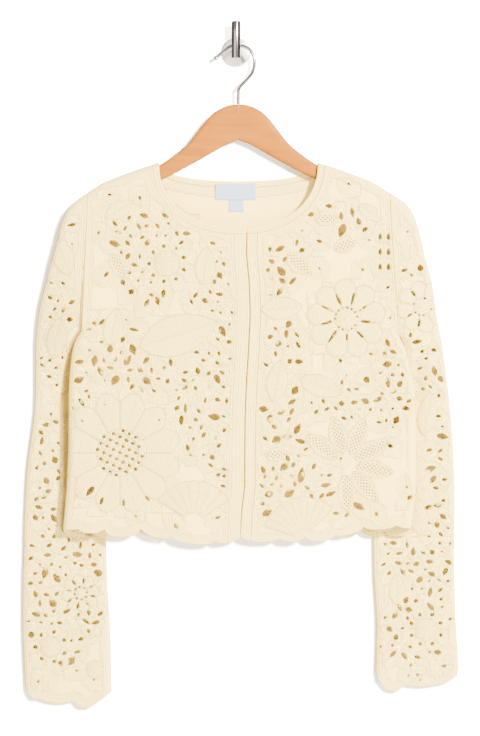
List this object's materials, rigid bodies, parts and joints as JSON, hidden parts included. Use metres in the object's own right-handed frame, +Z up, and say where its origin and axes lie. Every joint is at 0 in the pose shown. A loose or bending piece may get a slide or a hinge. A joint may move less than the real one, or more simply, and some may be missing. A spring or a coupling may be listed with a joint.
{
  "type": "crochet cropped cardigan on a wooden hanger and wall hook",
  "caption": "Cream crochet cropped cardigan with long sleeves, round neck, scalloped hem and cuffs and openwork motifs, hung on a wooden hanger from a round wall hook.",
  "frame": {"origin": "middle of the wall plate's back face, in the plane of the wall", "axes": "+Z up, +Y into the wall, the garment's front faces -Y and +X is to its right as seen from the front"},
  "size_m": [0.5481, 0.0441, 0.858],
  "materials": {
    "cream_cotton": "matt crocheted cotton yarn",
    "cream_cotton_band": "matt cotton yarn in close plain rows",
    "white_satin": "smooth satin weave",
    "pale_wood": "smooth satin varnish",
    "chrome": "polished plate"
  },
  "bodies": {
    "root": {"back": "cream_cotton", "front_left": "cream_cotton", "front_right": "cream_cotton", "sleeve_left_front": "cream_cotton", "sleeve_left_back": "cream_cotton", "sleeve_right_front": "cream_cotton", "sleeve_right_back": "cream_cotton", "band_left": "cream_cotton_band", "band_right": "cream_cotton_band", "neck_left": "cream_cotton_band", "neck_right": "cream_cotton_band", "neck_back": "cream_cotton_band", "label_large": "white_satin", "label_small": "white_satin", "hanger_left": "pale_wood", "hanger_right": "pale_wood", "hanger_hook": "chrome", "wall_plate": "chrome", "wall_post": "chrome", "wall_bar": "chrome"}
  },
  "joints": []
}
